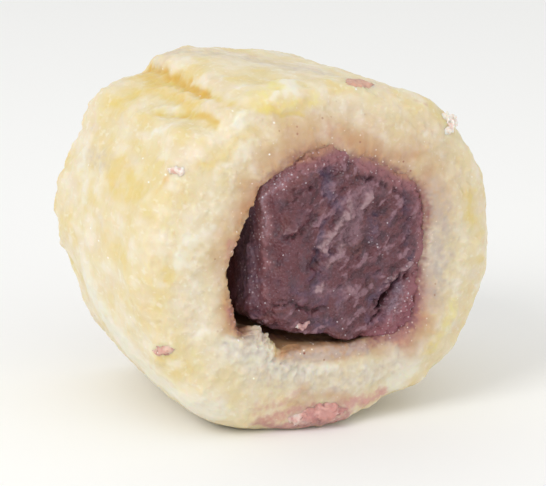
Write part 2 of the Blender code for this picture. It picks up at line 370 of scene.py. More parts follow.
doughLook = {
    "ground": "#DED0AC",
    "drawnOut": 0.5,  # rolling has drawn the patches out along the roll
    "detail": 1.5,
    "ragged": 1.6,  # how far the noise frays the edge of a painted patch
    # colour, painted layer that it follows, size in mm, fades in from, full at, strength
    "patches": [
        ("#DAC689", "", 3.4, 0.38, 0.68, 0.80),
        ("#DCCDBB", "", 2.6, 0.46, 0.72, 0.6),
        ("#E6DDCA", "", 1.8, 0.42, 0.72, 0.70),
        # painted shade: deeper gold in the hollows between lumps
        ("#D9C48C", "hollowShade", 0.8, 0.10, 1.40, 0.35),
        ("#D6C9B0", "cut", 1.7, 0.10, 1.15, 0.5),
        ("#CBBD9E", "cut", 0.6, 0.95, 1.45, 0.45),
        ("#EEE9DC", "cut", 1.3, 0.95, 1.45, 0.6),
        ("#EBE6D8", "", 0.50, 0.56, 0.76, 0.4),
        ("#D9BE60", "gold", 1.0, 0.00, 1.10, 0.75),
        ("#E4D885", "lemon", 0.7, 0.15, 1.20, 0.75),
        # white patches, and painted light low on the skin and at the face's lower right
        ("#E3DFCF", "paleAndLit", 0.8, 0.10, 0.90, 0.85),
        # amber tint, and painted shade in the seam's creases and beside the flap
        ("#D6AC4C", "amberAndShade", 1.2, 0.05, 0.95, 0.95),
        ("#CDA098", "blush", 0.4, 0.10, 0.90, 0.95),
        # soaked stain, and painted shade above the bottom flake and on the hole's wall
        ("#B98A62", "stainAndShade", 2.4, 0.00, 1.20, 0.95),
        ("#BE8C7C", "rose", 0.6, 0.10, 0.95, 0.90),
        # greyer thin dough, and painted shade below the hole and on the strip under the bar
        ("#BCADA2", "thinAndShade", 0.6, 0.10, 0.90, 0.85),
        # painted shade: dark brown in the hole's corner and on its floor under the bar
        ("#6E4C38", "brownShade", 0.5, 0.00, 1.05, 0.95),
        ("#8C5C5E", "smear", 0.5, 0.00, 1.05, 1.0),
    ],
    # colour, painted layer, spacing in mm, dot in mm, share of the cells that have one
    "grainsAndGlints": [
        # the brown and red dots are grains and pores; the pale dots are painted glints
        ("#8F6A43", "", 2.3, 0.13, 0.10),
        ("#EFEBE2", "", 0.8, 0.12, 0.06),
        ("#E4D6C8", "stainAndShade", 0.40, 0.10, 0.15),
        ("#9A5E4A", "stainAndShade", 0.9, 0.14, 0.15),
        ("#C9B2AE", "smear", 0.34, 0.11, 0.20),
    ],
    # size in mm, height in mm, strength. Real starch grains are too fine to show, so these are coarser
    "bumps": [(0.18, 0.03, 0.5), (0.45, 0.06, 0.5)],
    "surface": {
        "Roughness": 0.45,
        "IOR": 1.40,
        "Subsurface Weight": 0.6,
        "Subsurface Radius": (1.0, 0.62, 0.32),
        "Subsurface Scale": 0.0012,
    },
}

doughShape = {
    "voxel": 0.44,
    "soften": 8,
    "fineAngles": (58, 244),  # the skin that the photo shows gets the finer mesh
    "fineRadius": 14.5,  # what is farther from the axis than this is skin
    "fineDepth": 1.2,  # the front cut gets it too, down to here
    "rimBand": 1.3,  # and the hole's front edge gets the finest
    "rimDepth": 2.5,  # the hole's radius is read off the mesh down to here
    "wallBand": (0.6, 1.0),  # the hole's wall goes this far past its edge, and begins this far from a cut
    "frontDepth": (3.0, 1.0),  # the front cut's relief and stain fade out by this depth, and are full at this
    "backDepth": (rollLength - 3.0, rollLength - 1.0),  # the same for the back cut
    "wallRelief": 0.2,  # how much of the relief there is on the hole's wall
    "swellSize": 4.5, "swellHeight": 0.20,
    "lumpSize": 1.9, "lumpHeight": 0.14,
    "cragSize": 0.9, "cragHeight": 0.06,
    "grainSize": 0.40, "grainHeight": 0.03,
    "cutRoughness": 0.8,  # how much rougher the cut is than the skin
    "edgeLumpSize": 1.6, "edgeLumpHeight": 0.45,  # crumbly lumps round the cut's outer edge
    "toothSize": 0.50, "toothHeight": 0.34,
    "toothAngles": (182.0, 45.0),  # middle and half width of the angles of the hole's torn left edge
    # the hole's torn edge: angle about the bar's middle, how far in (+) or out (-)
    "edgeShifts": [(0, 0.35), (20, 0.3), (60, 0.5), (86, 0.5), (105, 0.6), (122, 0.6), (136, 0.2), (148, 0.0),
                   (156, -0.05), (171, -0.1), (176, 0.1), (181, 0.3), (185, 0.3), (190, 0.1), (194, 0.0),
                   (199, -0.2), (206, -0.2), (210, -0.5), (214.0, -0.8), (216.4, -0.6), (218.0, -0.2),
                   (219.8, 0.1), (221.5, -0.1), (223, -0.3), (229, -0.2), (232.5, -0.2), (235.2, -0.7),
                   (237.5, -0.7), (242, -0.2), (250, -0.1), (285, -0.15), (300, 0.2), (322, 0.5),
                   (360, 0.35)],
    "edgeReach": 3.0,
    "edgeDepth": (1.8, 0.5),  # a shift inwards has faded out at this depth, and is full at this one
    "outwardDepth": (4.0, 2.0),  # and so has a shift outwards
    "soakStart": 0.7,  # the paste covers this much of the rim
    "flapLine": [(-8.6, 0.0, -6.6), (-7.0, 0.0, -7.4), (-5.6, 0.0, -9.8), (-2.8, 0.0, -10.4)],
    "flapWidth": 1.5, "flapSize": 0.65, "flapHeight": 0.38,  # how crumbly it is
    "flapTeeth": (228.0, 10.0, 0.30),  # middle and half width of its angles, height of its own teeth
    # what came off the paste: angle about the bar's middle, strength and width of the stain, strength and
    # reach of the smear
    "soaks": [(0, 0.5, 3.0, 0.5, 0.4), (15, 0.85, 5.5, 0.7, 0.5), (30, 0.8, 6.5, 0.7, 0.5),
              (45, 0.9, 7.0, 0.6, 0.6), (60, 0.95, 5.5, 0.6, 0.6), (75, 0.8, 5.5, 0.7, 0.6),
              (90, 0.95, 6.0, 0.8, 0.7), (105, 0.75, 6.5, 0.5, 0.6), (120, 0.85, 5.5, 0.5, 0.6),
              (135, 0.95, 3.8, 0.4, 0.4), (150, 0.95, 3.4, 0.2, 0.3), (165, 1.0, 3.5, 0.1, 0.3),
              (180, 0.8, 3.6, 0.1, 0.3), (195, 0.6, 1.8, 0.1, 0.3), (205, 1.0, 2.6, 0.5, 0.5),
              (211, 1.3, 2.2, 0.5, 0.5), (216, 1.0, 1.5, 0.3, 0.4), (220, 0.15, 1.0, 0.0, 0.3),
              (233, 0.15, 1.0, 0.0, 0.3), (238, 0.9, 1.8, 0.0, 0.3), (255, 1.2, 1.6, 0.0, 0.3),
              (270, 1.1, 1.6, 0.1, 0.3), (285, 0.8, 1.5, 0.5, 0.5), (300, 0.8, 4.4, 0.8, 0.7),
              (315, 1.0, 4.6, 0.9, 0.6), (330, 0.85, 4.2, 0.9, 0.6), (345, 0.4, 2.2, 0.6, 0.5),
              (360, 0.5, 3.0, 0.5, 0.4)],
    "floorStain": (268.0, 35.0, 0.15),  # the hole's floor: middle, half width, how much fainter its stain is
    "wallSmear": (3.0, 0.35),  # the smear on the hole's wall: depth where it begins, strength
    "wander": ((2.0, 0.45), (0.7, 0.30)),  # wave length and reach of the strokes' wandering
}

# half width, height, colours, line
doughStrokes = {
    # painted shade in the seam's crease, amber over gold
    "seam": (0.60, -0.35, {"amberAndShade": 0.85, "gold": 1.0}, [
        (-8.1, 25.6, 14.5), (-8.2, 21.7, 14.8), (-8.3, 17.5, 14.6), (-8.8, 12.7, 14.4),
        (-9.0, 8.3, 14.4)]),
    "seamEnd": (0.55, -0.14, {"gold": 0.9}, [(-9.0, 8.3, 14.4), (-8.9, 5.8, 14.5), (-8.6, 3.9, 14.5)]),
    "seamGlow": (1.5, 0.0, {"gold": 1.0, "amberAndShade": 0.35}, [
        (-9.4, 24.0, 14.0), (-9.8, 18.5, 14.1), (-9.9, 13.0, 14.0), (-9.9, 9.0, 14.0)]),
    "seamFill": (0.9, 0.0, {"gold": 0.9, "amberAndShade": 0.35}, [
        (-8.3, 24.0, 14.5), (-8.6, 17.0, 14.5), (-8.9, 10.0, 14.4)]),
    "goldHigh": (2.4, 0.0, {"gold": 0.8}, [(-13.4, 19.6, 12.7), (-10.9, 18.5, 13.8)]),
    "goldCorner": (0.9, 0.0, {"gold": 0.55}, [(-12.2, 1.1, 9.6), (-10.4, 0.9, 10.8), (-7.9, 0.9, 12.5)]),
    # painted shade in the fold's crease, amber over gold
    "fold": (0.60, -0.20, {"amberAndShade": 0.5, "gold": 1.0}, [
        (-11.0, 8.5, 13.1), (-10.8, 4.6, 13.2), (-10.6, 2.7, 13.0)]),
    "foldStart": (0.45, -0.20, {"gold": 0.8}, [(-12.7, 13.0, 12.4), (-11.5, 9.8, 12.7), (-11.0, 8.5, 13.1)]),
    "upperRidge": (0.75, 0.22, {"paleAndLit": 0.5}, [(-10.0, 16.6, 14.0), (-9.9, 11.6, 14.0), (-9.6, 6.1, 14.2)]),
    "lowerRidge": (0.65, 0.22, {"paleAndLit": 0.5}, [
        (-12.7, 12.9, 12.5), (-11.6, 12.3, 12.9), (-10.8, 10.1, 13.3)]),
    "lemonLump": (2.0, 0.25, {"lemon": 0.75}, [(-6.0, 2.6, 14.9), (-4.6, 3.4, 15.6), (-3.0, 4.4, 15.9)]),
    "lemonFoot": (0.9, 0.10, {"lemon": 0.8}, [(-4.6, 1.3, 14.2), (-3.0, 1.3, 14.4), (-1.2, 1.6, 14.8)]),
    "lemonWhite": (1.1, 0.20, {"paleAndLit": 1.0}, [(-3.2, 2.4, 15.3), (-2.5, 4.6, 15.8)]),
    "lemonFlecks": (0.5, 0.10, {"paleAndLit": 1.0}, [(-5.2, 1.9, 14.8), (-4.6, 2.4, 15.2)]),
    # painted shade under the lemon lump's overhanging edge
    "underLemonShade": (0.35, -0.12, {"gold": 0.8, "lemon": 1.0}, [
        (-6.6, 1.6, 14.1), (-5.6, 1.3, 13.9), (-4.4, 1.0, 13.6), (-2.9, 0.9, 13.8)]),
    "topPink": (0.9, 0.0, {"rose": 0.35}, [(-6.0, 25.0, 16.0), (-1.0, 22.0, 16.6), (3.0, 18.0, 16.2)]),
    "goldBack": (2.4, 0.0, {"gold": 0.80}, [(-16.7, 12.0, 6.8), (-16.4, 6.0, 6.2)]),
    "goldTop": (1.3, 0.0, {"gold": 0.4}, [(-7.6, 0.2, 12.2), (-5.4, 0.2, 12.9), (-2.6, 0.2, 13.3)]),
    "lemonLow": (1.2, 0.0, {"lemon": 0.4}, [(-13.9, 0.4, -7.6), (-13.2, 0.3, -9.4)]),
    "greyBack": (1.8, 0.0, {"thinAndShade": 0.40}, [(-16.5, 20.0, 7.5), (-16.6, 15.0, 7.6)]),
    "goldSide": (1.6, 0.0, {"gold": 0.55}, [(-18.4, 10.9, 1.2), (-18.2, 6.5, 0.8)]),
    "goldLow": (1.2, 0.0, {"gold": 0.25}, [(-17.0, 4.0, -3.0), (-16.4, 2.4, -5.4)]),
    "goldSpot": (0.55, -0.05, {"gold": 0.75}, [(-15.7, 0.8, 0.4), (-15.8, 0.8, -0.7)]),
    "whiteFace": (0.8, 0.10, {"paleAndLit": 0.55}, [(-9.0, 0.4, 10.6), (-7.2, 0.1, 11.6)]),
    "whiteSide": (0.8, 0.08, {"paleAndLit": 0.8}, [(-14.9, 0.6, 1.2), (-14.2, 0.4, 3.1)]),
    "whiteRim": (0.5, 0.08, {"paleAndLit": 0.9}, [(-11.8, -0.1, 4.1)]),
    "whiteBack": (1.4, 0.0, {"paleAndLit": 0.55}, [(-16.6, 22.0, 7.0), (-17.8, 17.5, 4.0)]),
    "whiteHigh": (0.7, 0.08, {"paleAndLit": 0.8}, [(-14.1, 9.1, 11.2), (-13.4, 7.4, 11.6)]),
    "whiteSeam": (0.9, 0.10, {"paleAndLit": 0.75}, [(-8.2, 1.7, 13.7), (-8.9, 1.2, 12.6)]),
    "paleLow": (5.0, 0.0, {"paleAndLit": 0.35}, [(-15.0, 16.0, -8.5), (-15.5, 6.0, -7.0)]),
    # painted light on the underside, next to the floor
    "litFoot": (2.6, 0.0, {"thinAndShade": 0.15, "paleAndLit": 1.0}, [
        (-18.0, 16.4, -5.0), (-17.2, 12.5, -7.6), (-14.5, 4.6, -12.2), (-12.0, 1.8, -13.6)]),
    "lowSpot": (0.35, 0.15, {"blush": 0.6, "paleAndLit": 0.5}, [(-16.2, 5.6, -9.6)]),
    "greyTop": (3.0, 0.0, {"thinAndShade": 0.45}, [
        (-6.0, 24.0, 15.6), (-2.0, 18.0, 16.2), (2.0, 12.0, 16.4), (5.0, 6.0, 15.8)]),
    "paleTop": (2.4, 0.0, {"paleAndLit": 0.35}, [(-5.0, 16.0, 16.0), (1.0, 12.0, 16.4), (6.0, 6.0, 15.8)]),
    "palePatch": (0.50, 0.12, {"paleAndLit": 0.95}, [(-1.6, 0.0, -10.6), (0.2, -0.1, -10.6)]),
    "paleUnder": (0.60, 0.10, {"paleAndLit": 0.8, "lemon": 0.4}, [(3.2, -0.1, -11.1), (4.9, 0.1, -12.0)]),
    "paleBottom": (0.65, 0.0, {"paleAndLit": 0.7, "thinAndShade": 0.5}, [(-0.3, 0.2, -12.9), (2.2, 0.2, -13.0)]),
    # painted shade: greyer on the face below the hole
    "greyLow": (2.2, 0.0, {"thinAndShade": 0.40, "paleAndLit": 0.45}, [
        (-7.4, 0.0, -10.0), (-3.0, 0.0, -11.4), (2.0, 0.0, -12.2), (6.0, 0.1, -11.0)]),
    # painted shade above the bottom flake
    "flakeTopShade": (1.0, 0.0, {"stainAndShade": 0.5, "blush": 0.25}, [
        (-3.0, 0.1, -12.6), (-0.6, 0.2, -13.6), (1.6, 0.3, -13.6)]),
    "peach": (0.5, -0.08, {"rose": 0.45}, [(-6.3, -0.1, -10.3), (-6.4, -0.1, -11.2)]),
    "flapRoot": (1.6, 0.0, {"paleAndLit": 0.9, "thinAndShade": 0.5}, [
        (-10.2, 0.0, -7.2), (-8.0, 0.0, -8.0), (-6.6, 0.0, -9.2), (-4.4, 0.0, -10.0), (-2.9, 0.0, -10.5)]),
    "flapTip": (0.8, 0.10, {"thinAndShade": 0.85}, [(-8.6, 0.0, -6.5), (-7.5, 0.0, -6.2), (-7.0, 0.0, -7.0)]),
    "flapPits": (0.35, -0.30, {"thinAndShade": 0.8}, [(-10.8, 0.0, -6.9), (-10.6, 0.0, -7.1)]),
    "flapPitLow": (0.45, -0.25, {"thinAndShade": 0.6}, [(-8.5, 0.0, -9.3), (-8.1, 0.0, -9.5)]),
    "rimGlow": (0.9, 0.0, {"stainAndShade": 0.5, "gold": 0.6}, [
        (-10.3, 0.1, -2.2), (-10.2, 0.1, -4.0), (-9.6, 0.1, -5.2)]),
    # painted shade beside the flap's right flank
    "flapShade": (0.45, 0.0, {"amberAndShade": 0.9}, [(-5.6, 0.3, -8.1), (-5.5, 1.2, -7.8)]),
    # painted shade in the hole's lower left corner, on its floor under the bar and at the strip's edge
    "cornerShade": (0.85, 0.0, {"brownShade": 1.0}, [
        (-9.2, 0.3, -5.7), (-8.7, 0.5, -5.8), (-8.5, 1.4, -5.9), (-8.3, 2.6, -6.2)]),
    "floorShade": (1.1, 0.0, {"brownShade": 0.85}, [
        (-5.5, 4.0, -7.8), (-3.5, 3.2, -8.0), (-1.4, 2.0, -8.1), (1.0, 1.5, -8.1)]),
    "stripShade": (0.45, 0.0, {"brownShade": 0.5}, [(-4.4, 0.3, -8.2), (-1.0, 0.4, -8.05), (2.0, 0.4, -7.95)]),
    "roseCorner": (0.6, 0.0, {"rose": 0.9, "gold": 0.4}, [(-10.0, 0.1, -4.0), (-10.0, 0.3, -5.2)]),
    "roseLeft": (0.7, 0.0, {"rose": 0.8}, [(-10.1, 0.1, 2.6), (-10.1, 0.1, 0.6)]),
    "smearTop": (0.9, 0.10, {"smear": 0.35}, [
        (-5.2, 0.0, 8.9), (-3.6, 0.0, 9.8), (-1.6, 0.0, 10.0), (0.4, 0.0, 9.6), (1.6, 0.0, 9.0)]),
    "roseTop": (1.5, 0.0, {"rose": 0.15}, [
        (-6.6, 0.0, 8.0), (-4.4, 0.0, 9.8), (-1.6, 0.0, 10.5), (1.0, 0.0, 9.9), (4.6, 0.0, 8.4),
        (8.0, 0.1, 6.6)]),
    "roseLow": (1.4, 0.10, {"rose": 0.85}, [(9.6, 0.1, -4.8), (8.8, 0.1, -7.0), (7.2, 0.0, -8.3)]),
    "greyRight": (2.0, 0.0, {"thinAndShade": 0.65}, [
        (10.4, 0.1, 5.0), (11.4, 0.1, 2.0), (11.2, 0.1, -2.0), (10.6, 0.1, -4.4)]),
    "stainSpot": (0.9, 0.08, {"rose": 0.45}, [(-0.8, 0.3, 12.2), (0.2, 0.2, 11.2)]),
    "stainLow": (1.6, 0.0, {"stainAndShade": 0.5}, [(10.8, 0.1, -5.4), (9.2, 0.0, -8.6), (7.6, 0.0, -9.7)]),
    "stainStrip": (0.9, 0.0, {"stainAndShade": 0.8}, [(-4.6, 0.2, -8.4), (-2.0, 0.2, -8.2), (2.0, 0.2, -8.0)]),
    # greyer, pinker strip under the bar, partly painted shade
    "stripPink": (0.8, 0.0, {"thinAndShade": 0.8, "rose": 0.45}, [
        (-4.2, 0.0, -8.9), (0.0, 0.0, -8.9), (3.4, 0.0, -9.0)]),
    "flakeShade": (0.8, -0.05, {"stainAndShade": 0.5, "blush": 0.25}, [
        (-3.8, 0.4, -13.6), (-1.6, 0.4, -13.4), (0.6, 0.3, -13.2)]),
    "mauveBottom": (0.75, 0.10, {"smear": 0.45, "blush": 1.0}, [
        (-7.0, 1.1, -15.7), (-6.0, 1.3, -15.9), (-5.0, 1.6, -16.1), (-2.7, 1.2, -16.1),
        (0.0, 0.9, -16.0), (1.6, 0.6, -15.4)]),
    "pinkBottom": (0.8, 0.0, {"blush": 0.75, "stainAndShade": 0.35}, [
        (-6.6, 0.9, -15.2), (-5.4, 0.8, -15.0), (-4.0, 0.7, -14.7), (-2.0, 0.5, -14.2)]),
    "pinkLeft": (1.0, 0.0, {"blush": 0.45, "stainAndShade": 0.15}, [
        (-7.4, 0.4, -13.9), (-5.4, 0.3, -13.4), (-3.6, 0.3, -12.9)]),
    "peachBottom": (0.80, 0.12, {"blush": 0.85, "stainAndShade": 0.2}, [
        (1.4, 0.6, -14.4), (2.6, 0.8, -14.3), (4.2, 1.1, -14.4), (5.9, 1.2, -14.1)]),
    "crumbHalo": (0.7, 0.0, {"gold": 0.5}, [(-16.2, 2.4, -7.8), (-15.8, 1.6, -8.0)]),
    "orangeTail": (0.50, 0.05, {"rose": 0.25, "amberAndShade": 0.45}, [
        (-15.2, 2.4, 9.0), (-15.6, 2.6, 7.9), (-16.0, 2.6, 7.3)]),
    "edgeBrown": (0.40, 0.0, {"rose": 0.7}, [(9.6, 2.0, 13.9), (10.7, 1.9, 13.2)]),
    "edgeGold": (1.1, 0.0, {"gold": 0.7}, [(14.8, 0.4, 5.0), (14.9, 0.4, 2.4)]),
    "edgeLemon": (1.1, 0.08, {"lemon": 0.75}, [(10.6, 0.4, -10.2), (11.8, 0.3, -8.8), (12.9, 0.4, -6.0)]),
    # painted light where the face's lower right edge turns away from the lamp
    "litRight": (1.7, 0.05, {"paleAndLit": 1.0}, [(6.8, 1.0, -13.4), (8.6, 0.7, -11.8), (7.4, -0.1, -10.4)]),
    "palePatchRight": (0.7, 0.08, {"paleAndLit": 0.6}, [(10.9, 0.1, 1.5), (10.4, 0.1, -0.5)]),
}


def makeDoughMesh():
    s = doughShape
    dough = copyOfNode("dough_wrap", "doughWrap")
    applyModifier(dough, "REMESH", mode="VOXEL", voxel_size=s["voxel"] * mm)
    applyModifier(dough, "SMOOTH", factor=0.5, iterations=s["soften"])

    def showing(centres):
        low, high = s["fineAngles"]
        turned = angleOf(centres)
        onSkin = (radiusOf(centres) > s["fineRadius"]) & (turned > low) & (turned < high)
        return onSkin | (centres[:, 1] < s["fineDepth"])

    def atRim(centres):
        radius, angle, depth = radiusOf(centres, barMiddle), angleOf(centres, barMiddle), centres[:, 1]
        rim = edgeRadius(radius, angle, depth < s["rimDepth"], np.min)
        return (radius - rim < s["rimBand"]) & (depth < s["rimBand"])

    subdivideWhere(dough, showing)
    subdivideWhere(dough, atRim)
    applyModifier(dough, "SMOOTH", factor=0.5, iterations=3)
    return dough


def doughRelief(points, normals, edge, atEnds, inHole):
    # broad swellings, lumps, crags with flat tops, grain and crumbly edges
    s = doughShape
    crags = smoothStep(0.0, 0.35, rough(points, s["cragSize"], 3, 10.0))
    dips = rough(points, s["lumpSize"], 2, 20.0)
    push = s["swellHeight"] * rough(points, s["swellSize"])
    push += s["lumpHeight"] * dips
    onCut = smoothStep(0.35, 0.80, np.abs(normals[:, 1])) * atEnds
    fine = s["cragHeight"] * (crags - 0.3) + s["grainHeight"] * rough(points, s["grainSize"], 2, 30.0)
    push += fine * (1.0 + s["cutRoughness"] * onCut)
    atEdge = atEnds * smoothStep(3.5, 5.5, edge) * (1.0 - onCut)
    push += s["edgeLumpHeight"] * atEdge * rough(points, s["edgeLumpSize"], 2, 80.0)
    push = np.where(inHole, s["wallRelief"] * push, push)
    onFlap = bell(farFrom(points, s["flapLine"]), s["flapWidth"])
    push += s["flapHeight"] * onFlap * rough(points, s["flapSize"], 3, 95.0)
    layers = {
        # the cut's own patches fade out towards its outer edge, and dips between lumps get painted shade,
        # deeper in colour
        "cut": onCut * smoothStep(9.0, 4.0, edge),
        "hollowShade": smoothStep(-0.05, 0.40, -dips) + 0.3 * (1.0 - crags),
    }
    push += applyStrokes(points, doughStrokes, s["wander"], layers)
    return push, layers


def tearEdge(points, radius, angle, edge, depth):
    # the hole's left edge is torn into small teeth, and the edge all round is shifted in or out
    s = doughShape
    middle, halfWidth = s["toothAngles"]
    left = bell(turnTo(angle, middle), halfWidth) * smoothStep(1.4, 0.3, depth)
    left *= smoothStep(1.0, 0.2, np.abs(edge))
    middle, halfWidth, height = s["flapTeeth"]
    left *= 1.0 + height / s["toothHeight"] * bell(turnTo(angle, middle), halfWidth)
    teeth = s["toothHeight"] * left * rough(points, s["toothSize"], 3, 50.0)
    shifts = np.interp(angle, *zip(*s["edgeShifts"]))
    inwards, outwards = smoothStep(*s["edgeDepth"], depth), smoothStep(*s["outwardDepth"], depth)
    shifts *= np.where(shifts > 0.0, inwards, outwards)
    teeth += shifts * smoothStep(s["edgeReach"], 0.2, edge)
    return points - awayFromBar(points) * (teeth / radius)[:, None]


def soakIn(layers, angle, edge, depth, atEnds, inHole):
    # colour that soaked out of the paste, and paste that was smeared on the dough
    s = doughShape
    degrees, stainStrength, stainWidth, smearStrength, smearReach = zip(*s["soaks"])
    beyond = np.clip(edge - s["soakStart"], 0.0, 50.0)
    soaked = np.interp(angle, degrees, stainStrength) * atEnds
    soaked *= np.clip(1.0 - beyond / np.interp(angle, degrees, stainWidth), 0.0, 1.0)
    # inside the hole the wall takes the stain colour all over, partly soaking and partly painted shade, a
    # little less on the floor
    middle, halfWidth, less = s["floorStain"]
    wallStain = 1.0 - less * bell(turnTo(angle, middle), halfWidth)
    layers["stainAndShade"] = np.maximum(layers["stainAndShade"], np.where(inHole, wallStain, soaked))
    smeared = np.interp(angle, degrees, smearStrength)
    smeared *= np.exp(-beyond / np.interp(angle, degrees, smearReach))
    smeared *= atEnds
    smearDepth, wallSmear = s["wallSmear"]
    layers["smear"] = np.maximum(layers["smear"], np.where(inHole & (depth > smearDepth), wallSmear, smeared))


def makeDoughWrap(material):
    s = doughShape
    dough = makeDoughMesh()
    points, normals = pointsOf(dough), normalsOf(dough)
    radius, angle, depth = radiusOf(points, barMiddle), angleOf(points, barMiddle), points[:, 1]
    edge = radius - edgeRadius(radius, angle, depth < s["rimDepth"], np.min)
    pastEdge, fromCut = s["wallBand"]
    inHole = (edge < pastEdge) & (depth > fromCut) & (depth < rollLength - fromCut)
    atFront = smoothStep(*s["frontDepth"], depth)
    atBack = smoothStep(*s["backDepth"], depth)
    push, layers = doughRelief(points, normals, edge, atFront + atBack, inHole)
    points = tearEdge(points + normals * push[:, None], radius, angle, edge, depth)
    points[:, 2] = np.maximum(points[:, 2], -rollAxis[2])  # settled on what it rests on
    setPoints(dough, points)
    soakIn(layers, angle, edge, depth, atFront + atBack, inHole)
    paint(dough, layers)
    finishPiece(dough, material)
    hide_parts("dough_wrap")
    return dough


# Sieved red bean paste, cooked with sugar: dense and damp, with a purple cast; its small wet glints are
# painted into its colour

pasteLook = {
    "ground": "#64393F",
    "drawnOut": 1.0,
    "detail": 3.0,
    "ragged": 2.2,
    # patches, grains and glints, and bumps are listed as for the dough
    "patches": [
        ("#472B32", "", 1.8, 0.46, 0.70, 0.7),
        ("#74483F", "", 2.6, 0.52, 0.72, 0.60),
        ("#584A64", "", 2.2, 0.54, 0.74, 0.60),
        ("#765059", "", 1.3, 0.48, 0.70, 0.6),
        ("#5A444E", "", 0.9, 0.50, 0.70, 0.5),
        # painted shade: darkest in the hollows of the relief
        ("#33202A", "hollowShade", 0.3, 0.10, 1.20, 0.5),
        # painted sheen: pale grey-mauve on raised parts, down the middle and over the shaded left side
        ("#92707A", "crestSheen", 0.3, 0.10, 1.10, 0.75),
        ("#94626A", "rose", 0.5, 0.10, 1.00, 0.85),
        ("#4E4058", "violet", 0.5, 0.10, 1.10, 0.7),
        # painted sheen: fine pale grey-mauve flecks
        ("#846570", "", 0.22, 0.54, 0.70, 0.4),
        ("#A18488", "tan", 0.35, 0.15, 0.95, 0.9),
        # painted shade: near black in cracks, steps and hollows
        ("#2C191D", "deepShade", 0.4, 0.10, 1.00, 0.85),
        ("#8C5C60", "rim", 0.5, 0.05, 1.00, 0.95),
        ("#AA7C64", "fringe", 0.5, 0.00, 1.05, 0.95),
        ("#8A545E", "wine", 0.8, 0.05, 1.10, 0.90),
        # painted highlights: pale grey-violet glints
        ("#A698A6", "glint", 0.22, 0.45, 1.20, 0.45),
    ],
    "grainsAndGlints": [
        # all three are pale dots that are painted glints
        ("#B8AAB0", "", 0.50, 0.10, 0.14),
        ("#C4ACB0", "rim", 0.34, 0.11, 0.22),
        ("#D6CCD4", "glint", 0.28, 0.11, 0.28),
    ],
    "bumps": [(0.15, 0.06, 0.8), (0.40, 0.12, 0.6)],
    "surface": {
        "Roughness": 0.40,
        "IOR": 1.38,
        "Coat Weight": 0.10,
        "Coat Roughness": 0.18,
        "Subsurface Weight": 0.10,
        "Subsurface Radius": (0.8, 0.4, 0.4),
        "Subsurface Scale": 0.0006,
    },
}

barShape = {
    "voxel": 0.30,
    "soften": 4,
    "fineDepths": (3.0, 1.0),  # down to each of these depths the mesh is made finer once more
    "outlineDepth": 3.0,  # its outline is read off the mesh down to here
    # it swells against the dough: middle and half width of the angles, how far, how far its edge spills over
    "swells": [(82.0, 66.0, 0.35, 0.40), (122.0, 24.0, 0.40, 0.30), (335.0, 40.0, 0.45, 0.35),
               (306.0, 26.0, 0.45, 0.30), (236.0, 16.0, 0.20, 0.0)],
    "spillSize": 2.0, "spillBand": 2.0, "spillHeight": 0.06,
    "spillThins": 0.7,  # over this width it thins out and goes under the face of the dough
    "bridge": 0.15,  # it bridges the dough's worn inner edge no deeper than this
    "lumpSize": 2.4, "lumpHeight": 0.30,
    "scrapeSize": 0.80, "scrapeHeight": 0.24,  # the knife's scrapes, which run up to the right
    "scrapeTurn": 38.0, "scrapeStretch": 1.9,
    "leafSize": 2.2, "leafHeight": 0.08,  # thin leaves of paste that the knife has lifted
    "crumbSize": 0.7, "crumbHeight": 0.38,
    "crumbPlace": (7.0, -6.0), "crumbSpread": (3.0, 3.5),  # the crumbly corner, x and height
    "crumbTop": (6.5, 8.5),  # its top is crumbly from this height on, and all crumbs at this one
    "grainSize": 0.26, "grainHeight": 0.10,
    # its edge pales where it mixes with the dough: angle, distance from its middle where that begins
    "palesFrom": [(0, 7.6), (15, 8.4), (30, 8.3), (45, 6.9), (60, 6.8), (75, 6.6), (90, 7.6), (105, 7.5),
                  (120, 8.1), (135, 8.6), (150, 9.3), (160, 12.0), (278, 12.0), (285, 9.0), (300, 8.8),
                  (315, 7.8), (330, 7.5), (345, 7.5), (360, 7.5)],
    "palesOver": (-0.3, 1.0),  # mm past that distance where it starts, and where it has paled
    "fringeOver": (0.7, 1.9),  # and where it takes on the stained dough's colour
    "edgeDepth": (1.8, 0.8),  # both have faded out at this depth, and are full at this one
    "fringeGap": (308.0, 30.0),  # no such colour here: middle and half width of the angles
    "wander": ((1.6, 0.55), (0.5, 0.30)),
}

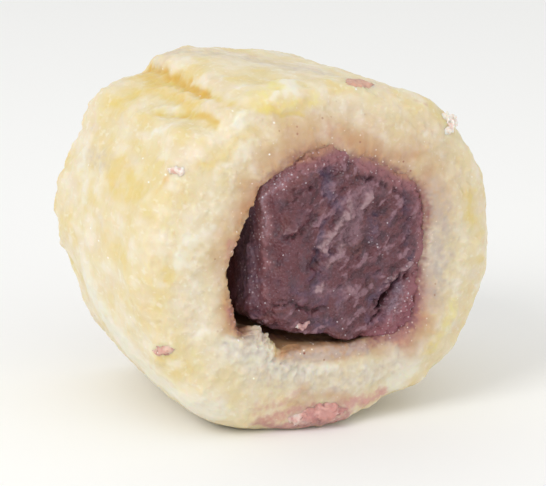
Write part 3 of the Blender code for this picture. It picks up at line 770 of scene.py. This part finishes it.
# listed as for the dough
barStrokes = {
    # the darkest colour, in cracks, steps and hollows, is painted shade
    "ridgeTop": (0.45, 0.45, {"tan": 1.0}, [(3.7, -0.4, 5.7), (3.0, -0.4, 5.4), (2.5, -0.4, 4.7)]),
    "ridgeGrey": (0.40, 0.25, {"tan": 0.6, "glint": 0.4}, [(1.7, -0.4, 5.3), (1.3, -0.4, 4.5)]),
    "ridge": (0.50, 0.40, {"tan": 1.0}, [
        (0.9, -0.4, 4.1), (0.2, -0.4, 3.6), (-0.3, -0.4, 2.8), (-0.7, -0.4, 2.3)]),
    "ridgeEnd": (0.50, 0.30, {"tan": 0.8}, [(-0.9, -0.5, 2.0), (-1.5, -0.4, 1.5), (-1.2, -0.4, 1.1)]),
    "ridgeShade": (0.32, -0.30, {"deepShade": 0.4}, [(1.6, -0.4, 3.4), (0.4, -0.4, 2.0), (-0.4, -0.4, 1.2)]),
    "lowRidge": (0.75, 0.30, {"tan": 0.55}, [(0.6, -0.5, 0.9), (-0.3, -0.4, 0.3), (-1.0, -0.4, -0.6)]),
    "lowShade": (0.35, -0.25, {"deepShade": 0.5}, [(-1.9, -0.4, 0.9), (-2.1, -0.4, -0.2), (-1.6, -0.4, -1.2)]),
    "lobeA": (0.55, 0.20, {"tan": 0.4}, [(0.8, -0.3, -2.4), (1.5, -0.3, -3.4)]),
    "lobeB": (0.45, 0.20, {"tan": 0.35}, [(3.4, -0.3, -0.6), (4.4, -0.3, 0.6)]),
    "hollow": (0.9, -0.40, {"violet": 0.9, "deepShade": 0.15}, [
        (-1.0, -0.2, 8.6), (-0.8, -0.2, 7.4), (-0.4, -0.3, 6.2), (0.2, -0.4, 5.2)]),
    "rightPool": (0.8, -0.15, {"violet": 0.7}, [(4.3, -0.3, 3.6), (4.0, -0.3, 1.9)]),
    "leftOfRidge": (0.40, -0.20, {"violet": 0.9, "deepShade": 0.3}, [
        (-1.3, -0.4, 3.4), (-1.9, -0.4, 1.0), (-1.8, -0.4, -0.2)]),
    "topLump": (0.8, 0.30, {"violet": 0.5}, [(0.6, 0.2, 8.6), (1.4, 0.1, 7.8)]),
    "topCrumbs": (0.7, 0.25, {"rose": 0.8}, [(2.6, 0.2, 8.4), (4.4, 0.1, 7.8)]),
    "topCrack": (0.22, -0.45, {"deepShade": 0.6}, [(2.2, 0.0, 6.8), (3.4, 0.0, 7.1), (4.3, 0.0, 7.1)]),
    "leftCrack": (0.22, -0.50, {"deepShade": 0.7}, [(-4.6, 0.6, 7.9), (-2.8, 0.3, 8.5), (-1.2, 0.2, 9.2)]),
    "crack": (0.24, -1.00, {"deepShade": 1.0}, [
        (9.2, 0.3, -1.9), (7.2, 0.2, -2.6), (6.2, 0.2, -3.2), (5.4, 0.1, -4.1), (4.9, 0.2, -5.2),
        (4.2, 0.3, -6.6)]),
    "crackLip": (0.40, 0.35, {"tan": 0.7, "glint": 0.3}, [
        (8.3, 0.0, -1.3), (6.8, -0.3, -1.9), (5.4, -0.4, -2.8)]),
    "chunk": (1.2, 0.20, {"violet": 0.6, "glint": 0.8, "crestSheen": 0.8}, [(7.2, 0.3, -3.8), (6.2, 0.4, -5.8)]),
    # painted sheen: a lighter column down the bar's middle
    "sheenColumn": (1.2, 0.05, {"crestSheen": 1.0}, [(3.2, -0.3, 6.2), (2.2, -0.4, 4.4), (1.8, -0.4, 2.2)]),
    "lowLobes": (0.9, 0.08, {"crestSheen": 0.55}, [(-1.5, -0.3, -2.9), (1.2, -0.3, -3.0), (0.4, -0.3, -4.8)]),
    # painted highlight on the upper left lip, in the rim's colour, with glints
    "lipAndHighlight": (0.8, 0.06, {"lipAndHighlight": 1.0, "glint": 0.9}, [
        (-6.9, 0.9, 4.8), (-6.6, 0.9, 6.2), (-5.6, 0.6, 7.3), (-4.2, 0.5, 8.1)]),
    "chunkFoot": (1.5, 0.10, {"wine": 1.0, "glint": 0.5}, [
        (9.2, 0.5, -3.6), (8.6, 0.6, -5.2), (7.4, 0.6, -7.2), (5.0, 0.6, -7.8)]),
    "rightFurrow": (0.60, -0.30, {"deepShade": 0.3, "violet": 0.6}, [
        (7.2, -0.2, 5.4), (7.5, -0.2, 3.6), (7.4, -0.2, 0.8)]),
    "rightEdge": (0.8, 0.0, {"rose": 0.8}, [(8.4, 0.2, 6.0), (9.0, 0.3, 3.0), (8.8, 0.3, -0.5)]),
    "topEdge": (0.9, 0.0, {"rose": 0.9}, [(-5.6, 0.8, 7.4), (-3.0, 0.5, 9.0), (0.2, 0.5, 9.2)]),
    "scallopA": (0.30, -0.30, {"deepShade": 0.5}, [(-4.9, -0.3, 5.6), (-3.6, -0.3, 6.6), (-2.2, -0.3, 7.2)]),
    "scallopB": (0.28, -0.40, {"deepShade": 0.7}, [
        (-5.3, -0.3, 2.2), (-4.1, -0.3, 2.2), (-2.9, -0.3, 3.0), (-2.0, -0.3, 3.7)]),
    "scallopLip": (0.30, 0.20, {"tan": 0.5}, [(-5.0, -0.3, 2.9), (-3.9, -0.3, 3.1), (-2.9, -0.3, 3.8)]),
    "lowStep": (0.28, -0.40, {"deepShade": 0.7}, [
        (-6.6, 0.4, -4.2), (-5.2, 0.0, -3.6), (-4.3, -0.1, -3.5), (-3.2, -0.1, -4.4), (-1.0, -0.1, -4.9)]),
    # painted highlight along the left ridge, in the rim's colour and tan, with glints
    "leftRidge": (0.75, 0.25, {"lipAndHighlight": 1.0, "glint": 0.8, "tan": 0.6}, [
        (-6.4, 1.0, 7.2), (-6.7, 1.2, 5.6), (-6.5, 1.2, 2.3)]),
    "leftRidgeLow": (0.55, 0.20, {"lipAndHighlight": 0.8, "glint": 0.5}, [
        (-6.4, 1.2, 1.6), (-6.0, 1.2, -0.9), (-6.1, 1.2, -2.4)]),
    "lipGlints": (0.45, 0.08, {"glint": 1.0, "rose": 0.5}, [
        (-6.7, 1.0, 5.2), (-6.8, 0.9, 6.2), (-5.4, 0.6, 7.3), (-3.4, 0.4, 8.2), (-1.6, 0.3, 8.8)]),
    "topGlints": (0.6, 0.05, {"glint": 0.8}, [(-0.4, 0.2, 8.9), (1.4, 0.1, 8.1), (2.4, 0.1, 7.4)]),
    "rightGlints": (0.7, 0.0, {"glint": 0.6}, [(4.0, -0.3, 1.6), (4.4, -0.3, 0.2)]),
    "leftFoot": (0.35, 0.10, {"glint": 0.6, "rose": 0.3}, [
        (-6.3, 1.0, -1.9), (-6.8, 1.0, -3.3), (-6.9, 1.1, -4.2)]),
    # painted light: the bar's shaded left side made lighter, with violet and glints
    "leftSide": (1.8, 0.0, {"crestSheen": 1.0, "violet": 0.9, "glint": 0.7}, [
        (-7.1, 3.2, 5.0), (-7.3, 3.4, 1.5), (-7.4, 3.2, -3.0)]),
    "darkSpots": (0.45, -0.20, {"deepShade": 0.6}, [(-1.6, -0.3, -0.2), (-2.4, -0.3, -2.6)]),
    "paleSpot": (0.35, 0.15, {"tan": 1.0}, [(-1.7, -0.3, -2.7), (-1.3, -0.3, -2.4)]),
    "glintA": (0.16, 0.10, {"glint": 1.0}, [(-5.7, 0.0, -2.4)]),
    "glintB": (0.14, 0.10, {"glint": 1.0}, [(-5.0, 0.0, -3.8)]),
    "glintC": (0.18, 0.10, {"glint": 1.0}, [(3.7, -0.4, 1.4), (4.1, -0.4, 1.6)]),
    "glintD": (0.16, 0.10, {"glint": 1.0}, [(-3.7, 0.4, 8.8), (-4.1, 0.4, 8.5)]),
}


def makeBarMesh():
    s = barShape
    bar = copyOfNode("bean_bar", "beanBar")
    applyModifier(bar, "REMESH", mode="VOXEL", voxel_size=s["voxel"] * mm)
    applyModifier(bar, "SMOOTH", factor=0.5, iterations=s["soften"])
    for fineDepth in s["fineDepths"]:
        subdivideWhere(bar, lambda centres: centres[:, 1] < fineDepth)
    applyModifier(bar, "SMOOTH", factor=0.5, iterations=2)
    return bar


def swellBar(points, normals, angle):
    # it swells sideways until it meets the dough, all the way through
    sideways = np.hypot(normals[:, 0], normals[:, 2])
    reach = np.zeros(len(points))
    for middle, halfWidth, swell, spill in barShape["swells"]:
        here = bell(turnTo(angle, middle), halfWidth)
        points = points + (swell * here * sideways)[:, None] * normals
        reach = np.maximum(reach, spill * here)
    return points, reach


def barRelief(points):
    # lumps, scrapes that run up to the right, crumbs at the top and the lower right, leaves and grain
    s = barShape
    turn = math.radians(s["scrapeTurn"])
    along = points[:, 0] * math.cos(turn) + points[:, 2] * math.sin(turn)
    across = points[:, 2] * math.cos(turn) - points[:, 0] * math.sin(turn)
    turned = np.stack([along, points[:, 1], across], axis=1)
    scraped = 0.15 + 0.85 * smoothStep(-3.5, 0.5, points[:, 0] + 0.3 * points[:, 2])
    scraped = np.maximum(scraped, 0.8 * smoothStep(-2.5, -5.0, points[:, 2]))
    scrapes = rough(turned, s["scrapeSize"], 3, 10.0, (s["scrapeStretch"], 1.0, 1.0))
    (placeX, placeZ), (spreadX, spreadZ) = s["crumbPlace"], s["crumbSpread"]
    crumbly = bell(points[:, 0] - placeX, spreadX) * bell(points[:, 2] - placeZ, spreadZ)
    crumbly += smoothStep(*s["crumbTop"], points[:, 2] + 0.3 * points[:, 0])
    crumbly = np.clip(crumbly, 0.0, 1.0)
    lumps = rough(points, s["crumbSize"], 3, 20.0)
    push = s["lumpHeight"] * rough(points, s["lumpSize"])
    push += s["scrapeHeight"] * scraped * (1.0 - crumbly) * scrapes
    push += s["crumbHeight"] * crumbly * lumps
    leaves = rough(turned, s["leafSize"], 2, 15.0, (1.3, 1.0, 1.0))
    steps = smoothStep(-0.04, 0.04, leaves) + smoothStep(0.20, 0.28, leaves)
    steps += smoothStep(-0.22, -0.30, leaves)
    push += s["leafHeight"] * (1.0 - crumbly) * (steps - 0.5)
    push += s["grainHeight"] * rough(points, s["grainSize"], 2, 30.0)
    relief = scraped * (1.0 - crumbly) * scrapes + crumbly * lumps
    # painted shade in the relief's hollows, painted sheen on its raised parts
    layers = {"hollowShade": smoothStep(0.15, 0.50, -relief), "crestSheen": smoothStep(0.10, 0.50, relief)}
    push += applyStrokes(points, barStrokes, s["wander"], layers)
    return push, layers


def paleEdge(layers, radius, angle, depth):
    # where the paste mixes with the dough
    s = barShape
    mixed = radius - np.interp(angle, *zip(*s["palesFrom"]))
    atEdge = smoothStep(*s["edgeDepth"], depth)
    layers["rim"] = smoothStep(*s["palesOver"], mixed) * atEdge
    # the lip and left ridge take the rim's colour, partly as a painted highlight
    layers["rim"] = np.maximum(layers["rim"], layers.pop("lipAndHighlight"))  # the lip at the left has the same colour
    middle, halfWidth = s["fringeGap"]
    layers["fringe"] = smoothStep(*s["fringeOver"], mixed) * atEdge
    layers["fringe"] *= 1.0 - bell(turnTo(angle, middle), halfWidth)


def spillOver(points, normals, radius, angle, reach, ground):
    # the front edge spills over the edge of the dough where they meet
    s = barShape
    depth = points[:, 1]
    inward = edgeRadius(radius, angle, depth < s["outlineDepth"], np.max) - radius
    spill = smoothStep(s["spillBand"], 0.0, inward) * smoothStep(1.6, 0.4, depth)
    spill *= smoothStep(0.1, 0.4, reach)
    reach = reach * (1.0 + 0.5 * rough(points, s["spillSize"], 2, 40.0))
    lift = 2.0 * smoothStep(0.0, s["spillThins"], inward) - 1.0
    points = points + awayFromBar(points) * (reach * spill / radius)[:, None]
    for i in np.nonzero(spill > 0.05)[0]:
        x, y, z = points[i]
        # the dough's face there, down to 1.5 mm behind the cut
        spot = ground.ray_cast(Vector((x, -4.0, z)), Vector((0.0, 1.0, 0.0)), 5.5)[0]
        level = (min(spot[1], s["bridge"]) if spot else s["bridge"]) - s["spillHeight"] * lift[i]
        points[i][1] = y + (level - y) * spill[i] * (1.0 if normals[i][1] < 0.2 else 0.3)
    return points


def makeBeanBar(material, ground):
    bar = makeBarMesh()
    points, normals = pointsOf(bar), normalsOf(bar)
    angle = angleOf(points, barMiddle)
    points, reach = swellBar(points, normals, angle)
    push, layers = barRelief(points)
    points = points + normals * push[:, None]
    radius = radiusOf(points, barMiddle)
    paleEdge(layers, radius, angle, points[:, 1])
    setPoints(bar, spillOver(points, normals, radius, angle, reach, ground))
    paint(bar, layers)
    finishPiece(bar, material)
    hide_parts("bean_bar")


# Scraps that stick to the roll, each modelled flat from its outline and then laid on

def flatScrap(name, outline, thickness, voxel):
    bpy.ops.object.select_all(action="DESELECT")
    bpy.ops.mesh.primitive_circle_add(vertices=len(outline), radius=mm, fill_type="NGON", location=(0, 0, 0))
    scrap = bpy.context.object
    scrap.name = name
    for vertex, (u, v) in zip(scrap.data.vertices, outline):
        vertex.co = (u * mm, v * mm, 0.0)
    bpy.ops.object.mode_set(mode="EDIT")
    bpy.ops.mesh.select_all(action="SELECT")
    bpy.ops.mesh.extrude_region_move(TRANSFORM_OT_translate={"value": (0, 0, thickness * mm)})
    bpy.ops.object.mode_set(mode="OBJECT")
    turnFacesOut(scrap)
    applyModifier(scrap, "REMESH", mode="VOXEL", voxel_size=voxel * mm)
    applyModifier(scrap, "SMOOTH", factor=0.5, iterations=3)
    return scrap, readVectors(scrap.data.vertices, "co") / mm


def groundOf(piece):
    faces = [tuple(face.vertices) for face in piece.data.polygons]
    return BVHTree.FromPolygons([Vector(point) for point in pointsOf(piece)], faces)


# Dried flakes of bean paste: matt, crumbly, and paler than the bar

flakeShape = {
    "voxel": 0.12,
    # the painted highlight on a flake's pale end reaches this far
    "highlightReach": 1.1,  # how far a flake's pale end reaches
    "edgeWidth": 0.5, "edgeHeight": 0.5,  # the edge's height as a share of the middle's
    "raggedSize": 0.5, "ragged": 0.28,
    "lumpSize": 0.5, "lumpHeight": 0.20,
}

# outline on the roll's surface, thickness, how far it is sunk in, and colours: body, light, deep, grain; the
# grain colour also paints the highlight on a flake's pale end
flakes = {
    "bottomFlake": {
        "outline": [(-4.2, 1.0, -15.2), (-3.6, 1.0, -14.9), (-2.6, 1.0, -14.7), (-1.8, 0.8, -14.5),
                    (-1.1, 0.6, -14.1), (-0.2, 0.6, -14.1), (0.7, 0.6, -14.1), (1.0, 0.5, -14.7),
                    (1.7, 0.4, -14.8), (1.5, 0.4, -15.2), (0.6, 0.5, -15.6), (-0.6, 0.7, -15.9),
                    (-1.7, 0.8, -15.8), (-2.6, 1.1, -16.1), (-3.5, 1.1, -15.9)],
        "thickness": 0.75, "sink": 0.25, "highlightEnd": (-3.4, 1.0, -15.6),
        "colours": ("#C6928A", "#D8ACA2", "#B47F7C", "#F0E2D8"),
    },
    "topFlake": {
        "outline": [(3.1, 4.6, 15.7), (4.2, 5.4, 15.6), (5.2, 5.2, 15.4), (5.8, 4.5, 15.2), (6.1, 3.8, 15.2),
                    (5.9, 3.0, 15.1), (5.1, 2.6, 15.1), (3.8, 1.6, 15.3), (3.0, 1.7, 15.4), (2.5, 2.2, 15.7),
                    (2.5, 3.3, 15.7)],
        "thickness": 0.50, "sink": 0.36, "colours": ("#CEA08A", "#D8AE98", "#B88A80", "#E6D6C6"),
    },
    "sideCrumb": {
        "outline": [(-16.8, 3.1, -7.6), (-16.5, 2.6, -7.1), (-16.0, 2.0, -6.9), (-15.5, 1.2, -6.8),
                    (-15.4, 1.2, -7.3), (-15.8, 1.9, -7.9), (-16.3, 2.6, -8.2)],
        "thickness": 0.70, "sink": 0.32, "colours": ("#CFA092", "#DCBBAA", "#B88074", "#F0E4DA"),
    },
    "highCrumb": {
        "outline": [(-15.1, 2.6, 9.3), (-14.6, 2.2, 9.5), (-14.1, 1.7, 9.4), (-13.9, 1.5, 9.0),
                    (-14.2, 1.5, 8.6), (-14.6, 1.8, 8.8), (-15.2, 2.4, 8.6)],
        "thickness": 0.60, "sink": 0.25, "colours": ("#E6D2C4", "#F8F2EE", "#D8A896", "#FFFFFF"),
    },
}


def scrapLook(colours):
    body, light, deep, grainAndHighlight = colours
    return {
        "ground": body,
        "drawnOut": 1.0,
        "detail": 2.0,
        "ragged": 2.0,
        # the last patch is a painted highlight on a flake's pale end
        "patches": [(light, "", 0.8, 0.45, 0.64, 0.9), (deep, "", 0.7, 0.50, 0.66, 0.8),
                    (grainAndHighlight, "highlightEnd", 0.5, 0.20, 0.90, 0.6)],
        "grainsAndGlints": [(grainAndHighlight, "", 0.5, 0.08, 0.15)],
        "bumps": [(0.16, 0.04, 0.5), (0.4, 0.08, 0.5)],
        "surface": {
            "Roughness": 0.5,
            "Subsurface Weight": 0.4,
            "Subsurface Radius": (1.0, 0.5, 0.4),
            "Subsurface Scale": 0.0006,
        },
    }


def makeFlake(name, shape, ground):
    s = flakeShape
    corners = np.array(shape["outline"])
    middle = corners.mean(axis=0)
    facing = np.array(ground.find_nearest(Vector(middle))[1])
    sideways = np.cross(facing, (0.0, 1.0, 0.0))
    sideways /= np.linalg.norm(sideways)
    upwards = np.cross(facing, sideways)
    flat = np.stack([(corners - middle) @ sideways, (corners - middle) @ upwards], axis=1)
    flake, local = flatScrap(name, flat, shape["thickness"], s["voxel"])
    loop = [(u, v, 0.0) for u, v in flat] + [(flat[0][0], flat[0][1], 0.0)]
    inward = farFrom(local * np.array([1.0, 1.0, 0.0]), loop)
    dome = s["edgeHeight"] + (1.0 - s["edgeHeight"]) * smoothStep(0.0, s["edgeWidth"], inward)
    lumps = s["lumpHeight"] * shape["thickness"] * rough(local, s["lumpSize"], 3, 5.0)
    height = local[:, 2] * dome + lumps * smoothStep(0.0, 0.3, local[:, 2])
    local[:, 0] += s["ragged"] * rough(local, s["raggedSize"], 3, 60.0)
    local[:, 1] += s["ragged"] * rough(local, s["raggedSize"], 3, 70.0)
    placed = []
    for (u, v, _), lift in zip(local, height):
        over = Vector(middle + sideways * u + upwards * v)
        # what lies under it, looking down from 3 mm above
        spot = ground.ray_cast(over + Vector(facing) * 3.0, Vector(-facing), 6.0)[0]
        if spot is None:
            spot = ground.find_nearest(over)[0]
        placed.append(np.array(spot) + facing * (lift - shape["sink"]))
    setPoints(flake, np.array(placed))
    # painted highlight on the flake's pale end
    if "highlightEnd" in shape:
        away = np.linalg.norm(np.array(placed) - np.array(shape["highlightEnd"]), axis=1)
        paint(flake, {"highlightEnd": bell(away, s["highlightReach"])})
    turnFacesOut(flake)
    finishPiece(flake, makeFood("dried bean paste, " + name, scrapLook(shape["colours"])))


# Loose crumbs, dry and chalky: lumpy balls pressed together, on the cut's upper right edge and on the bar

crumbShape = {
    "voxel": 0.07,
    "lumpHeight": 0.9,  # as a share of a ball's radius
}

# middle and radius of each ball, and colours as for a flake
crumbs = {
    "edgeCrumb": {
        "balls": [((12.9, 2.1, 11.9), 0.45), ((13.5, 2.4, 11.5), 0.55), ((13.0, 1.7, 11.1), 0.50),
                  ((12.5, 1.3, 10.8), 0.40), ((13.9, 2.4, 11.2), 0.30)],
        "colours": ("#E2D9CE", "#F1EEE8", "#D9BDB2", "#FFFFFF"),
    },
    "barCrumb": {
        "balls": [((-3.4, 0.3, -6.0), 0.30), ((-3.05, 0.3, -6.25), 0.34), ((-2.7, 0.2, -6.1), 0.28),
                  ((-2.4, 0.2, -5.9), 0.18)],
        "colours": ("#C7A19E", "#EAD9D3", "#A67C7C", "#FFFFFF"),
    },
}


def makeCrumb(name, shape):
    balls = []
    for index, (place, radius) in enumerate(shape["balls"]):
        spot = (Vector(place) + Vector(rollAxis)) * mm
        bpy.ops.object.select_all(action="DESELECT")
        bpy.ops.mesh.primitive_ico_sphere_add(subdivisions=3, radius=radius * mm, location=spot)
        ball = bpy.context.object
        bpy.ops.object.transform_apply(location=True, rotation=True, scale=True)
        points = pointsOf(ball)
        lumps = crumbShape["lumpHeight"] * rough(points, 0.5 * radius + 0.05, 3, 90.0 + index)
        points += (points - np.array(place)) * lumps[:, None]
        setPoints(ball, points)
        balls.append(ball)
    selectOnly(balls[0])
    for ball in balls[1:]:
        ball.select_set(True)
    bpy.ops.object.join()
    crumb = balls[0]
    crumb.name = name
    applyModifier(crumb, "REMESH", mode="VOXEL", voxel_size=crumbShape["voxel"] * mm)
    applyModifier(crumb, "SMOOTH", factor=0.5, iterations=1)
    finishPiece(crumb, makeFood("dry crumb, " + name, scrapLook(shape["colours"])))


makeCamera()
makeStudio()
doughMaterial = makeFood("steamed starch dough", doughLook)
doughWrap = makeDoughWrap(doughMaterial)
doughGround = groundOf(doughWrap)
makeBeanBar(makeFood("sieved red bean paste", pasteLook), doughGround)
for flakeName, flake in flakes.items():
    makeFlake(flakeName, flake, doughGround)
for crumbName, crumb in crumbs.items():
    makeCrumb(crumbName, crumb)
